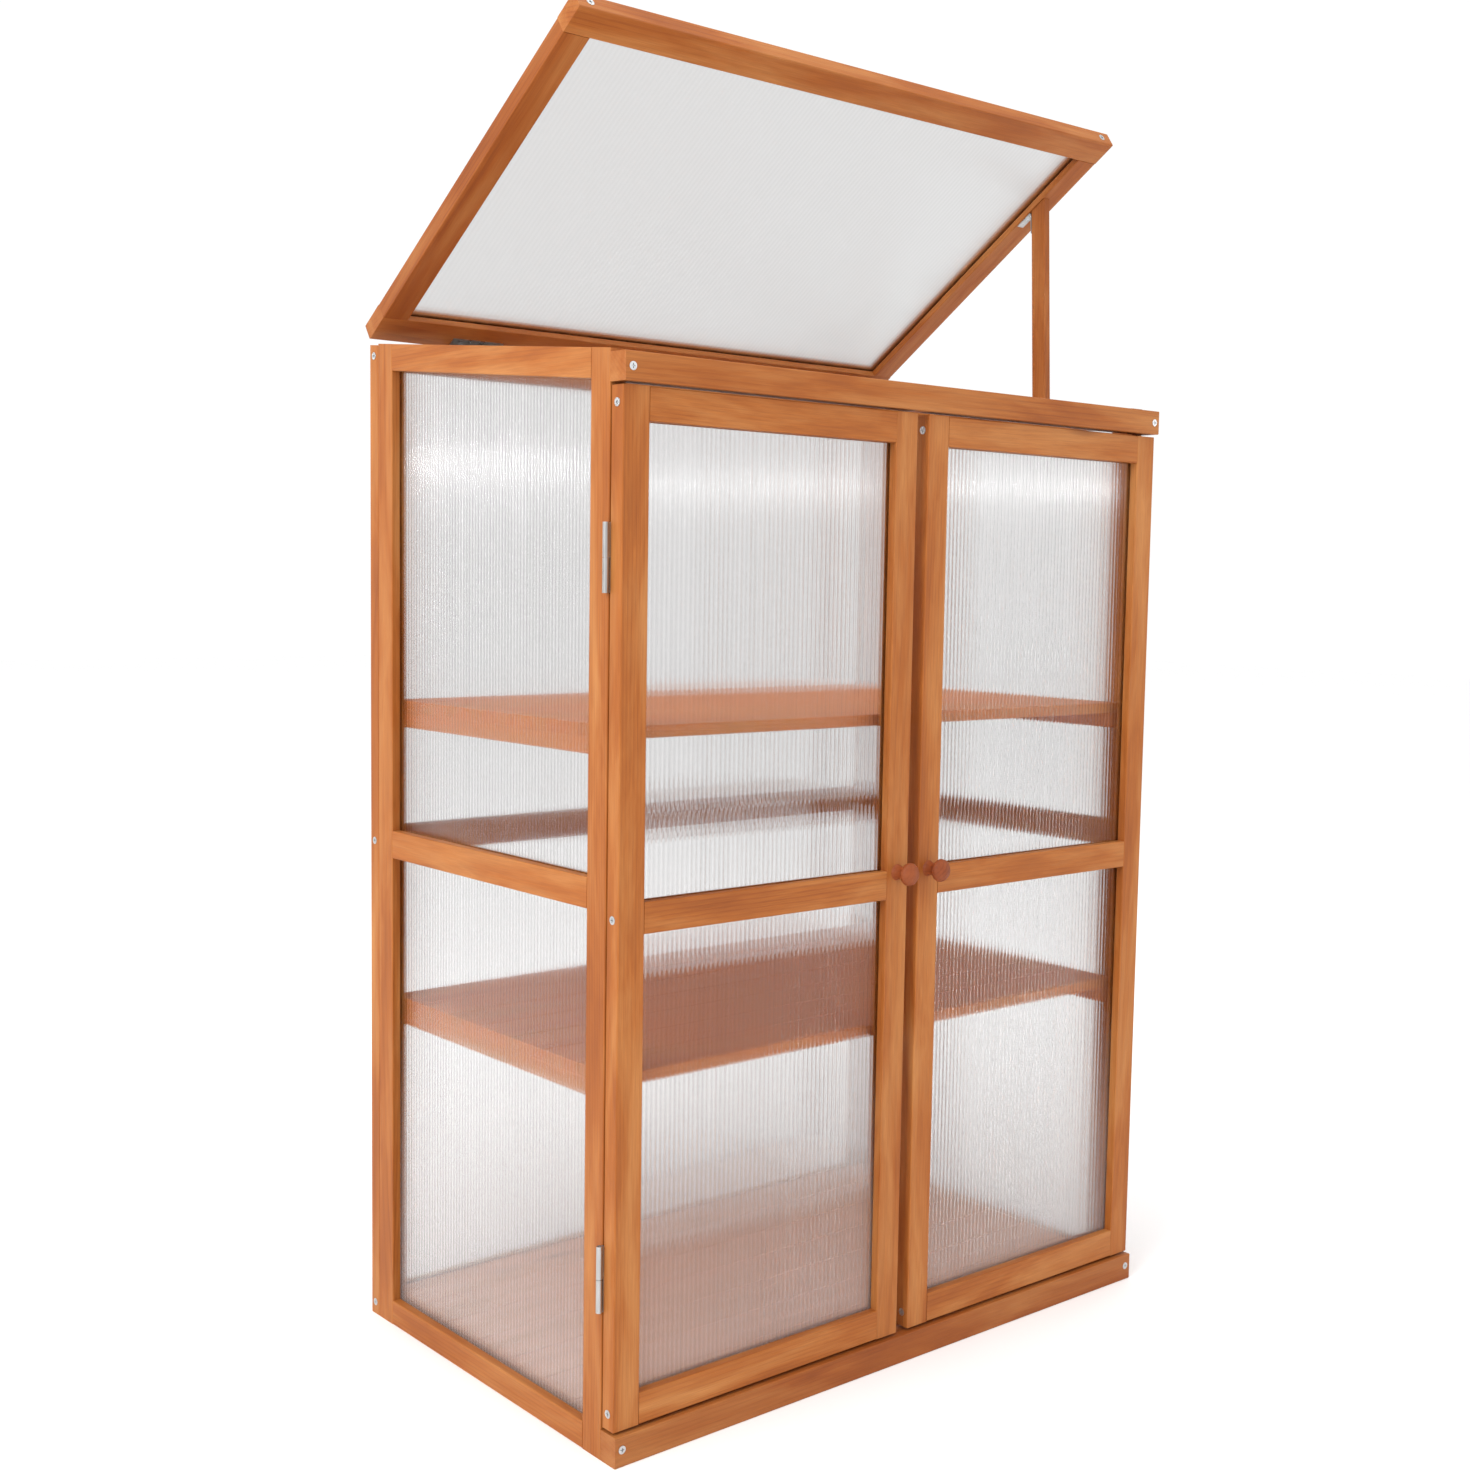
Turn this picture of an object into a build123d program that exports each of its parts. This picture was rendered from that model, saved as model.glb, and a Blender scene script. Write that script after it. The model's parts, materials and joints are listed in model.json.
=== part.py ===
from build123d import *
import os
from dataclasses import dataclass, field
from math import atan2, cos, degrees, radians, sin, tan
from typing import Callable

# A standing timber cold frame: a cabinet of four glazed frames with three slatted decks, two
# doors on lift-off hinges, and a sloping glazed lid that a swinging prop holds open.
# Millimetres. X runs left to right, Y front to back, Z up from the floor, and the origin is
# on the floor in the middle of the cabinet's footprint.

# Cabinet
width = 760.0  # across the outer faces of the side walls
depth = 470.0  # face of the front rails to face of the back wall
front_height = 1034.0  # floor to roof line at the front face
back_height = 1078.0  # floor to roof line at the back face

# Timber
stock_t = 18.0  # thickness of every wall, door and lid timber
stile_w = 30.0
mid_rail_h = 30.0
arris_r = 1.2  # rounding along the long edges
wall_bottom_rail_h = 27.0
wall_top_rail_h = 28.0
wall_mid_rail_z = 538.0  # centre line of the walls' middle rails
front_rail_t = 24.0
front_bottom_rail_h = 30.0
front_top_rail_h = 28.0

# Twin-wall glazing
panel_t = 4.0
panel_skin = 0.45
panel_rib = 0.4
flute_pitch = 5.6
panel_reveal = 9.5  # outer face of the timber to the panel
groove_d = 8.0  # how deep the timbers are grooved
groove_play = 0.15  # each side of the panel
panel_edge_gap = 1.0  # panel's edge to the bottom of the groove

# Decks
slat_t = 12.0
slat_count = 7
slat_gap = 1.5
slat_end_gap = 0.5
deck_front_gap = 8.0  # side walls' front edge to the first slat
deck_back_gap = 3.0  # last slat to the back wall
cleat_w = 15.0
cleat_h = 17.0
floor_deck_z = 30.0  # top faces of the three decks
lower_shelf_z = 366.0
upper_shelf_z = 694.0

# Doors
door_edge_inset = 1.0  # cabinet's outer face to the door's outer edge
door_meeting_gap = 16.0  # between the two doors
door_rail_gap = 3.0  # between a door and the front rails
door_back_gap = 1.0  # between a door and the side walls' front edges
door_top_rail_h = 31.0
door_bottom_rail_h = 31.0
knob_z = 531.0
knob_r = 12.0
knob_neck_r = 6.5
knob_foot_r = 8.5
knob_neck_z = 10.0  # heights along the knob, from the door's face
knob_rim_low_z = 16.5
knob_rim_high_z = 19.5
knob_waist_dip = 0.3
knob_flare_rise = 0.8
knob_out = 27.0  # door face to the knob's crown

# Door hinges, of the lift-off kind with two knuckles
door_hinge_h = 64.0
door_hinge_low_z = 177.0
door_hinge_drop = 185.0  # front of the roof line to the upper hinge's middle
door_axis_out = 3.4  # pin's centre outside the cabinet's outer face

# Lid
lid_side_inset = 2.0  # cabinet's outer face to the lid's side
lid_gap = 3.0  # between the closed lid and the roof line
lid_back_out = 2.5  # lid's back edge behind the back wall's face
lid_front_spare = 1.5  # what the slope takes back from the lid's length
lid_side_rail_w = 30.0
lid_front_rail_w = 32.0
lid_back_rail_w = 36.0
lid_panel_reveal = 7.0
lid_open = 38.95  # degrees from closed to where the prop holds it

# Lid hinges, of the butt kind with three knuckles
lid_hinge_h = 64.0
lid_hinge_x = 250.0
lid_axis_out = 6.0  # pin's centre behind the back wall's face

# All cabinet hinges
hinge_leaf_t = 1.2
hinge_leaf_w = 17.0  # pin's centre to the leaf's far edge
barrel_r = 3.0
pin_r = 1.6
pin_play = 0.05
knuckle_gap = 0.4  # between knuckles, and from a knuckle to the other leaf
door_leaf_play = 0.2  # pin's centre plane to the leaf, on a leaf let into the timber
lid_leaf_play = 0.3
leaf_pocket_play = 0.15  # leaf's far edge to the end of its seat
pin_end_gap = 1.0

# Prop and its small hinge
prop_w = 10.0
prop_d = 20.5
prop_l = 240.0
prop_side_gap = 2.5  # inner face of the right wall to the prop
prop_from_axis = 354.5  # lid's axis to the prop's pin, along the lid
prop_lean = 2.5  # degrees, foot forward of the top
prop_top_gap = 0.5  # top end to the lid's underside
prop_leaf_t = 1.0
prop_leaf_w = 22.0
prop_barrel_r = 2.0
prop_pin_r = 1.1
prop_pin_off = 2.4  # pin's centre to both timbers

# Screws
frame_screw_r = 4.0  # radius of the head
frame_shank_r = 1.8
frame_screw_l = 50.0
corner_screw_l = 45.0
wall_screw_l = 38.0
small_screw_r = 3.0
small_shank_r = 1.3
small_screw_l = 14.0
knob_screw_l = 30.0
prop_screw_r = 2.0
prop_shank_r = 1.0
prop_screw_l = 7.0
head_rim = 0.5
head_proud = 0.3
hole_play = 0.05
hole_over = 1.0  # a hole's cut runs this far past the timber's face
recess_share = 1.1  # length of the cross recess in head radii
recess_w_share = 0.22
recess_d = 1.2
corner_screw_inset = 8.0  # cabinet's outer face to the screw's centre
corner_screw_low_z = 17.0
corner_screw_drop = 15.0  # front of the roof line to the upper screw
wall_screw_low_z = (60.0, 480.0)
wall_screw_drop = 58.0  # back of the roof line to the highest screw
hinge_screw_off = 20.0  # either side of the hinge's middle
prop_screw_off = (9.0, 17.0)  # along the prop hinge's leaves

# Places worked out from the sizes above
roof_tilt = degrees(atan2(back_height - front_height, depth))
outer_x = width / 2
inner_x = outer_x - stock_t
front_y = -depth / 2
back_y = depth / 2
side_front_y = front_y + front_rail_t
side_back_y = back_y - stock_t
door_face_y = side_front_y - door_back_gap - stock_t
door_axis_x = outer_x + door_axis_out
door_axis_y = side_front_y - door_back_gap / 2
door_low_z = front_bottom_rail_h + door_rail_gap
door_high_z = front_height - front_top_rail_h - door_rail_gap
door_hinge_high_z = front_height - door_hinge_drop
corner_screw_x = outer_x - corner_screw_inset
corner_screw_z = (corner_screw_low_z, front_height - corner_screw_drop)
wall_screw_z = (*wall_screw_low_z, back_height - wall_screw_drop)
lid_w = width - 2 * lid_side_inset
lid_l = depth + lid_back_out + lid_front_spare
lid_slope = lid_open - roof_tilt
lid_axis_y = back_y + lid_axis_out
panel_bite = groove_d - panel_edge_gap


def roof_z(y):
    """Height of the roof line at a place along the depth."""
    return front_height + (y - front_y) * tan(radians(roof_tilt))


lid_axis_z = roof_z(lid_axis_y) + lid_gap / 2 / cos(radians(roof_tilt))


def level(height):
    """A level edge line: the same height at every place along the wall."""
    return lambda along: height


def shifted(line, offset):
    """An edge line moved up or down."""
    return lambda along: line(along) + offset


def slab(near, far, low, high, w_near, w_far):
    """A flat piece between two places along a wall, two edge lines and two depths."""
    corners = [(near, low(near)), (far, low(far)), (far, high(far)), (near, high(near))]
    face = make_face(Polyline(*corners, close=True))
    return Pos(0, 0, w_near) * extrude(face, amount=w_far - w_near, dir=(0, 0, 1))


def block(low, high):
    """A square-edged piece between two opposite corners."""
    sizes = [top - bottom for bottom, top in zip(low, high)]
    return Pos(*low) * Box(*sizes, align=(Align.MIN, Align.MIN, Align.MIN))


def eased(timber):
    """The timber with its four long arrises rounded."""
    return fillet(timber.edges().sort_by(SortBy.LENGTH)[-4:], arris_r)


@dataclass
class Wall:
    """A glazed frame, drawn with its outer face at depth 0 and its thickness going inwards."""

    near: float
    far: float
    near_stile: tuple[str, float]  # name and width
    far_stile: tuple[str, float]
    low: Callable
    high: Callable
    rails: list  # (name, lower edge line, upper edge line), from the foot up
    reveal: float = panel_reveal
    flutes_along: bool = False  # flutes run along the wall instead of up it
    screwed_near: list = field(default_factory=list)  # rails screwed through the stiles
    screwed_far: list = field(default_factory=list)


def fluted_sheet(span, length):
    """Twin-wall sheet standing on its end: two skins, ribs between, flutes running up."""
    flutes = round(span / flute_pitch)
    pitch = (span - panel_rib) / flutes
    outline = Wire.make_polygon([(0, 0), (span, 0), (span, panel_t), (0, panel_t)])
    cells = []
    for flute in range(flutes):
        left = panel_rib + flute * pitch
        right = (flute + 1) * pitch
        top = panel_t - panel_skin
        cell = [(left, panel_skin), (right, panel_skin), (right, top), (left, top)]
        cells.append(Wire.make_polygon(cell))
    return extrude(Face(outline, cells), amount=length, dir=(0, 0, 1))


def glazing(wall, near, far, low, high):
    """A panel cut to fill one opening and its grooves."""
    left = near - panel_bite
    right = far + panel_bite
    bottom = shifted(low, -panel_bite)
    top = shifted(high, panel_bite)
    foot = min(bottom(left), bottom(right))
    head = max(top(left), top(right))
    if wall.flutes_along:
        stand = Plane(origin=(left, foot, wall.reveal), x_dir=(0, 1, 0), z_dir=(1, 0, 0))
        sheet = stand.location * fluted_sheet(head - foot, right - left)
    else:
        stand = Plane(origin=(left, head, wall.reveal), x_dir=(1, 0, 0), z_dir=(0, -1, 0))
        sheet = stand.location * fluted_sheet(right - left, head - foot)
    if top(left) == top(right):
        return sheet
    return sheet & slab(left, right, bottom, top, 0, stock_t)


def framed_wall(wall):
    """The timbers and panels of a wall, by name, with the panels' grooves cut."""
    near_in = wall.near + wall.near_stile[1]
    far_in = wall.far - wall.far_stile[1]
    timbers = {
        wall.near_stile[0]: slab(wall.near, near_in, wall.low, wall.high, 0, stock_t),
        wall.far_stile[0]: slab(far_in, wall.far, wall.low, wall.high, 0, stock_t),
    }
    for name, low, high in wall.rails:
        timbers[name] = slab(near_in, far_in, low, high, 0, stock_t)
    panels = []
    grooves = []
    for lower, upper in zip(wall.rails, wall.rails[1:]):
        low = lower[2]
        high = upper[1]
        panels.append(glazing(wall, near_in, far_in, low, high))
        grooves.append(
            slab(
                near_in - groove_d,
                far_in + groove_d,
                shifted(low, -groove_d),
                shifted(high, groove_d),
                wall.reveal - groove_play,
                wall.reveal + panel_t + groove_play,
            )
        )
    pieces = {}
    for name, timber in timbers.items():
        piece = eased(timber)
        for groove in grooves:
            piece -= groove
        pieces[name] = piece
    return pieces, panels


def screw_outline(head_r, shank_r, length, play):
    """Half the outline of a countersunk screw, its head's face at Z = 0 and its point down."""
    rim_z = -head_rim
    neck_z = rim_z - (head_r - shank_r)
    tip_z = shank_r * 2 - length
    top_z = hole_over if play else 0
    points = [
        (0, 0, top_z),
        (head_r + play, 0, top_z),
        (head_r + play, 0, rim_z),
        (shank_r + play, 0, neck_z - play),
        (shank_r + play, 0, tip_z),
        (0, 0, -length - play),
    ]
    return make_face(Polyline(*points, close=True))


@dataclass
class Screw:
    """Where a screw sits: the centre of its head's face and the way it is driven."""

    place: tuple
    drive: tuple
    head_r: float = frame_screw_r
    shank_r: float = frame_shank_r
    length: float = frame_screw_l
    proud: float = head_proud

    def seat(self):
        away = Vector(*self.drive) * -1
        origin = Vector(*self.place) + away * self.proud
        return Plane(origin=origin, z_dir=away).location

    def solid(self):
        body = revolve(screw_outline(self.head_r, self.shank_r, self.length, 0), Axis.Z)
        long_side = self.head_r * recess_share
        short_side = self.head_r * recess_w_share
        for sides in ((long_side, short_side), (short_side, long_side)):
            body -= Pos(0, 0, -recess_d / 2) * Box(*sides, recess_d)
        return self.seat() * body

    def hole(self):
        outline = screw_outline(self.head_r, self.shank_r, self.length, hole_play)
        return self.seat() * revolve(outline, Axis.Z)


def moved_screws(screws, plane):
    """Screws given in a plane's own directions, placed by that plane."""
    placed = []
    for screw in screws:
        place = tuple(plane.from_local_coords(Vector(*screw.place)))
        tip = plane.from_local_coords(Vector(*screw.place) + Vector(*screw.drive))
        drive = tuple(tip - Vector(*place))
        placed.append(
            Screw(place, drive, screw.head_r, screw.shank_r, screw.length, screw.proud)
        )
    return placed


def edge_screws(wall):
    """The screws driven through a wall's stiles into the ends of its rails."""
    screws = []
    mid_w = stock_t / 2
    for name, low, high in wall.rails:
        if name in wall.screwed_near:
            mid = (low(wall.near) + high(wall.near)) / 2
            screws.append(Screw((wall.near, mid, mid_w), (1, 0, 0)))
        if name in wall.screwed_far:
            mid = (low(wall.far) + high(wall.far)) / 2
            screws.append(Screw((wall.far, mid, mid_w), (-1, 0, 0)))
    return screws


def touch(one, other):
    """Whether two shapes' boxes meet."""
    a = one.bounding_box()
    b = other.bounding_box()
    lows = zip(tuple(a.min), tuple(b.max))
    highs = zip(tuple(b.min), tuple(a.max))
    return all(x <= y for x, y in lows) and all(x <= y for x, y in highs)


def drilled(piece, holes):
    """The piece with every hole that reaches it."""
    for hole in holes:
        if touch(piece, hole):
            piece -= hole
    return piece


def hinge_leaf(side, spans, height, play, leaf_w, leaf_t, r, bore_r):
    """One leaf, its pin along Z through the origin, reaching towards +X.

    side is +1 for the leaf on the +Y side and -1 for the other. spans are the lowest and
    highest place of each of its knuckles."""
    clear = r + knuckle_gap
    y_low = min(side * play, side * (play + leaf_t))
    y_high = y_low + leaf_t
    leaf = block((clear, y_low, -height / 2), (leaf_w, y_high, height / 2))
    for low, high in spans:
        leaf += block((0, y_low, low), (clear, y_high, high))
        leaf += Pos(0, 0, low) * Cylinder(r, high - low, align=(Align.CENTER, Align.CENTER, Align.MIN))
    return leaf - Cylinder(bore_r, height * 2)


def door_hinge(seat):
    """A lift-off hinge: the frame's leaf has the lower knuckle and the pin, the door's the upper."""
    half = door_hinge_h / 2
    sizes = (door_hinge_h, door_leaf_play, hinge_leaf_w, hinge_leaf_t, barrel_r)
    fixed = hinge_leaf(1, [(-half, -knuckle_gap / 2)], *sizes, pin_r)
    moving = hinge_leaf(-1, [(knuckle_gap / 2, half)], *sizes, pin_r + pin_play)
    pin = Cylinder(pin_r, door_hinge_h - 2 * pin_end_gap)
    return seat * fixed, seat * moving, seat * pin


def butt_hinge(height, play, leaf_w, leaf_t, r, pin_radius):
    """A butt hinge: the fixed leaf has the two outer knuckles, the moving one the middle."""
    half = height / 2
    third = height / 6
    outer = [(-half, -third), (third, half)]
    inner = [(knuckle_gap - third, third - knuckle_gap)]
    sizes = (height, play, leaf_w, leaf_t, r)
    fixed = hinge_leaf(1, outer, *sizes, pin_radius)
    moving = hinge_leaf(-1, inner, *sizes, pin_radius + pin_play)
    pin = Cylinder(pin_radius, height)
    return fixed, moving, pin


def leaf_pocket(seat, side):
    """The shallow seat that a door hinge's leaf is let into."""
    far = door_leaf_play + hinge_leaf_t
    y_low = 0 if side > 0 else -far
    half = door_hinge_h / 2
    reach = hinge_leaf_w + leaf_pocket_play
    return seat * block((0, y_low, -half), (reach, y_low + far, half))


def knob():
    """A turned knob: a waisted neck and a domed head with a flat rim, growing along +Z."""
    dome_h = knob_out - knob_rim_high_z
    dome_r = (knob_r**2 + dome_h**2) / (2 * dome_h)
    half_turn = (radians(90) + atan2(dome_r - dome_h, knob_r)) / 2
    dome_mid = (dome_r * cos(half_turn), 0, knob_out - dome_r * (1 - sin(half_turn)))
    waist = (knob_neck_r + knob_waist_dip, 0, knob_neck_z / 2)
    flare_z = (knob_neck_z + knob_rim_low_z) / 2 + knob_flare_rise
    flare = ((knob_neck_r + knob_r) / 2, 0, flare_z)
    neck_top = (knob_neck_r, 0, knob_neck_z)
    rim_low = (knob_r, 0, knob_rim_low_z)
    rim_high = (knob_r, 0, knob_rim_high_z)
    side = [
        Line((0, 0, 0), (knob_foot_r, 0, 0)),
        ThreePointArc((knob_foot_r, 0, 0), waist, neck_top),
        ThreePointArc(neck_top, flare, rim_low),
        Line(rim_low, rim_high),
        ThreePointArc(rim_high, dome_mid, (0, 0, knob_out)),
        Line((0, 0, knob_out), (0, 0, 0)),
    ]
    return revolve(make_face(side), Axis.Z)


def mirrored(piece):
    """The same piece on the other hand."""
    return mirror(piece, Plane.YZ)


def side_wall():
    """The left wall, seen from outside with the front on the near side."""
    top = roof_z
    top_low = shifted(top, -wall_top_rail_h)
    mid = mid_rail_h / 2
    return Wall(
        side_front_y,
        side_back_y,
        ("front_stile", stile_w),
        ("back_stile", stile_w),
        level(0),
        top,
        [
            ("bottom_rail", level(0), level(wall_bottom_rail_h)),
            ("mid_rail", level(wall_mid_rail_z - mid), level(wall_mid_rail_z + mid)),
            ("top_rail", top_low, top),
        ],
        screwed_near=["mid_rail"],
        screwed_far=["mid_rail"],
    )


def back_wall():
    """The back wall, drawn up to the roof line's highest point."""
    top = level(roof_z(back_y))
    mid = mid_rail_h / 2
    names = ["bottom_rail", "mid_rail", "top_rail"]
    return Wall(
        -outer_x,
        outer_x,
        ("left_stile", stile_w),
        ("right_stile", stile_w),
        level(0),
        top,
        [
            ("bottom_rail", level(0), level(wall_bottom_rail_h)),
            ("mid_rail", level(wall_mid_rail_z - mid), level(wall_mid_rail_z + mid)),
            ("top_rail", shifted(top, -wall_top_rail_h), top),
        ],
        screwed_near=names,
        screwed_far=names,
    )


def left_door_wall():
    """The left door, drawn from the meeting edge outwards."""
    middle = (door_low_z + door_high_z) / 2
    mid = mid_rail_h / 2
    names = ["bottom_rail", "mid_rail", "top_rail"]
    return Wall(
        door_meeting_gap / 2,
        outer_x - door_edge_inset,
        ("meeting_stile", stile_w),
        ("outer_stile", stile_w),
        level(door_low_z),
        level(door_high_z),
        [
            ("bottom_rail", level(door_low_z), level(door_low_z + door_bottom_rail_h)),
            ("mid_rail", level(middle - mid), level(middle + mid)),
            ("top_rail", level(door_high_z - door_top_rail_h), level(door_high_z)),
        ],
        screwed_near=names,
        screwed_far=names,
    )


def lid_wall():
    """The lid, drawn from its back edge forwards, with its left edge uppermost."""
    back_edge = lid_axis_out - lid_back_out
    half = lid_w / 2
    names = ["right_rail", "left_rail"]
    return Wall(
        back_edge,
        back_edge + lid_l,
        ("back_rail", lid_back_rail_w),
        ("front_rail", lid_front_rail_w),
        level(-half),
        level(half),
        [
            ("right_rail", level(-half), level(lid_side_rail_w - half)),
            ("left_rail", level(half - lid_side_rail_w), level(half)),
        ],
        reveal=lid_panel_reveal,
        flutes_along=True,
        screwed_near=names,
        screwed_far=names,
    )


def slats(top_z):
    """The slats of one deck, side by side from front to back."""
    front = side_front_y + deck_front_gap
    back = side_back_y - deck_back_gap
    slat_w = (back - front - (slat_count - 1) * slat_gap) / slat_count
    half = inner_x - slat_end_gap
    deck = []
    for slat in range(slat_count):
        y = front + slat * (slat_w + slat_gap)
        deck.append(eased(block((-half, y, top_z - slat_t), (half, y + slat_w, top_z))))
    return deck


def cleats(top_z):
    """The two bearers that carry a deck, one on each side wall."""
    front = side_front_y + deck_front_gap
    back = side_back_y - deck_back_gap
    high = top_z - slat_t
    left = eased(block((-inner_x, front, high - cleat_h), (cleat_w - inner_x, back, high)))
    return [left, mirrored(left)]


def front_rail(low_z, high_z):
    """A rail across the front, trimmed to the roof line."""
    rail = block((-outer_x, front_y, low_z), (outer_x, side_front_y, high_z + stock_t))
    return eased(rail & under_roof(high_z))


def under_roof(limit_z):
    """Everything under the roof line and under a level limit."""
    y_near = front_y - stock_t
    y_far = back_y + stock_t
    top_near = min(roof_z(y_near), limit_z)
    top_far = min(roof_z(y_far), limit_z)
    corners = [(0, y_near, 0), (0, y_far, 0), (0, y_far, top_far), (0, y_near, top_near)]
    face = make_face(Polyline(*corners, close=True))
    return extrude(face, amount=width, dir=(1, 0, 0), both=True)


def write(node, solids):
    """One STEP file for a node of one or more solids."""
    shape = solids[0] if len(solids) == 1 else Compound(children=list(solids))
    export_step(shape, f"parts/{node}.step")


def pair(name, piece):
    """A piece of the left side and its twin on the right."""
    return {f"left_{name}": [piece], f"right_{name}": [mirrored(piece)]}


side_stand = Plane(origin=(-outer_x, 0, 0), x_dir=(0, 1, 0), z_dir=(1, 0, 0))
back_stand = Plane(origin=(0, back_y, 0), x_dir=(1, 0, 0), z_dir=(0, -1, 0))
door_stand = Plane(origin=(0, door_face_y, 0), x_dir=(-1, 0, 0), z_dir=(0, 1, 0))


def axis_plane(slope):
    """The lid's axis: X runs forwards along a lid at this slope, Y down, Z to the right."""
    forward = (0, -cos(radians(slope)), sin(radians(slope)))
    return Plane(origin=(0, lid_axis_y, lid_axis_z), x_dir=forward, z_dir=(1, 0, 0))


closed_axis = axis_plane(-roof_tilt)
lid_axis = axis_plane(lid_slope)
lid_top = -lid_gap / 2 - stock_t
lid_stand = Plane(
    origin=lid_axis.from_local_coords(Vector(0, lid_top, 0)),
    x_dir=lid_axis.x_dir,
    z_dir=lid_axis.y_dir,
)

# The prop hangs from a pin just under the lid's right rail, towards the lid's back
prop_angle = 90 - lid_slope + prop_lean  # from the lid's underside to the prop
prop_pin_y = prop_pin_off - lid_gap / 2
prop_down = Vector(-cos(radians(prop_angle)), sin(radians(prop_angle)), 0)
prop_out = Vector(sin(radians(prop_angle)), cos(radians(prop_angle)), 0)
prop_x = inner_x - prop_side_gap - prop_w / 2
prop_pin = Vector(prop_from_axis, prop_pin_y, prop_x)


def direction(plane, local):
    """A direction given in a plane's own axes, as one in the cabinet's."""
    return plane.from_local_coords(local) - plane.origin


prop_seat = Plane(
    origin=lid_axis.from_local_coords(prop_pin),
    x_dir=direction(lid_axis, prop_down),
    z_dir=(1, 0, 0),
)
prop_leaf_seat = Plane(
    origin=prop_seat.origin, x_dir=direction(lid_axis, Vector(-1, 0, 0)), z_dir=(1, 0, 0)
)


def small_screw(place, drive):
    """A hinge screw, its head flush with the leaf."""
    return Screw(place, drive, small_screw_r, small_shank_r, small_screw_l, 0)


def door_hinge_seats():
    """Where the left door's two hinges sit."""
    return [Pos(-door_axis_x, door_axis_y, z) for z in (door_hinge_low_z, door_hinge_high_z)]


def hinge_screw_x():
    """How far from a hinge's pin its screws are."""
    return (barrel_r + knuckle_gap + hinge_leaf_w) / 2


def door_hinge_screws(side):
    """The screws of the left door's hinges, in the frame (side 1) or in the door (side -1)."""
    x = hinge_screw_x() - door_axis_x
    y = door_axis_y + side * door_leaf_play
    middles = (door_hinge_low_z, door_hinge_high_z)
    offsets = (-hinge_screw_off, hinge_screw_off)
    return [small_screw((x, y, z + off), (0, side, 0)) for z in middles for off in offsets]


def lid_hinge_screws(side, plane):
    """The screws of the left lid hinge, in the back wall (side 1) or in the lid (side -1)."""
    x = hinge_screw_x() + lid_axis_out - barrel_r
    y = side * lid_leaf_play
    places = [-lid_hinge_x - hinge_screw_off, -lid_hinge_x + hinge_screw_off]
    return moved_screws([small_screw((x, y, z), (0, side, 0)) for z in places], plane)


def left_cabinet_screws():
    """Every screw in the left half of the cabinet."""
    screws = moved_screws(edge_screws(side_wall()), side_stand)
    back = [screw for screw in edge_screws(back_wall()) if screw.drive[0] > 0]
    screws += moved_screws(back, back_stand)
    for z in corner_screw_z:
        place = (-corner_screw_x, front_y, z)
        screws.append(Screw(place, (0, 1, 0), length=corner_screw_l))
    for z in wall_screw_z:
        place = (stock_t / 2 - outer_x, back_y, z)
        screws.append(Screw(place, (0, -1, 0), length=wall_screw_l))
    screws += door_hinge_screws(1)
    screws += lid_hinge_screws(1, closed_axis)
    return screws


def both_hands(solids):
    """Solids of the left side with their twins on the right."""
    return solids + [mirrored(solid) for solid in solids]


def make_cabinet():
    """Walls, front rails, decks and the hinge halves fixed to them."""
    screws = left_cabinet_screws()
    left_holes = [screw.hole() for screw in screws]
    holes = both_hands(left_holes)
    nodes = {"cabinet_screws": both_hands([screw.solid() for screw in screws])}

    pieces, panels = framed_wall(side_wall())
    seats = [leaf_pocket(seat, 1) for seat in door_hinge_seats()]
    for name, piece in pieces.items():
        placed = drilled(side_stand.location * piece, left_holes + seats)
        nodes.update(pair(f"side_{name}", placed))
    placed = [side_stand.location * panel for panel in panels]
    nodes["left_side_panels"] = placed
    nodes["right_side_panels"] = [mirrored(panel) for panel in placed]

    pieces, panels = framed_wall(back_wall())
    roof = under_roof(roof_z(back_y))
    for name, piece in pieces.items():
        nodes[f"back_{name}"] = [drilled(back_stand.location * piece & roof, holes)]
    nodes["back_panels"] = [back_stand.location * panel for panel in panels]

    top = front_rail(front_height - front_top_rail_h, roof_z(side_front_y))
    nodes["front_top_rail"] = [drilled(top, holes)]
    nodes["front_bottom_rail"] = [drilled(front_rail(0, front_bottom_rail_h), holes)]

    decks = {"floor": floor_deck_z, "lower_shelf": lower_shelf_z, "upper_shelf": upper_shelf_z}
    for name, z in decks.items():
        nodes[f"{name}_slats"] = slats(z)
        nodes[f"{name}_cleats"] = cleats(z)

    hinges = [door_hinge(seat) for seat in door_hinge_seats()]
    nodes["door_hinge_frame_leaves"] = both_hands([drilled(h[0], holes) for h in hinges])
    nodes["door_hinge_pins"] = both_hands([h[2] for h in hinges])
    fixed, _, pin = lid_hinge_parts()
    seat = closed_axis.location * Pos(0, 0, -lid_hinge_x)
    nodes["lid_hinge_frame_leaves"] = both_hands([drilled(seat * fixed, left_holes)])
    nodes["lid_hinge_pins"] = both_hands([seat * pin])
    return nodes


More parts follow.
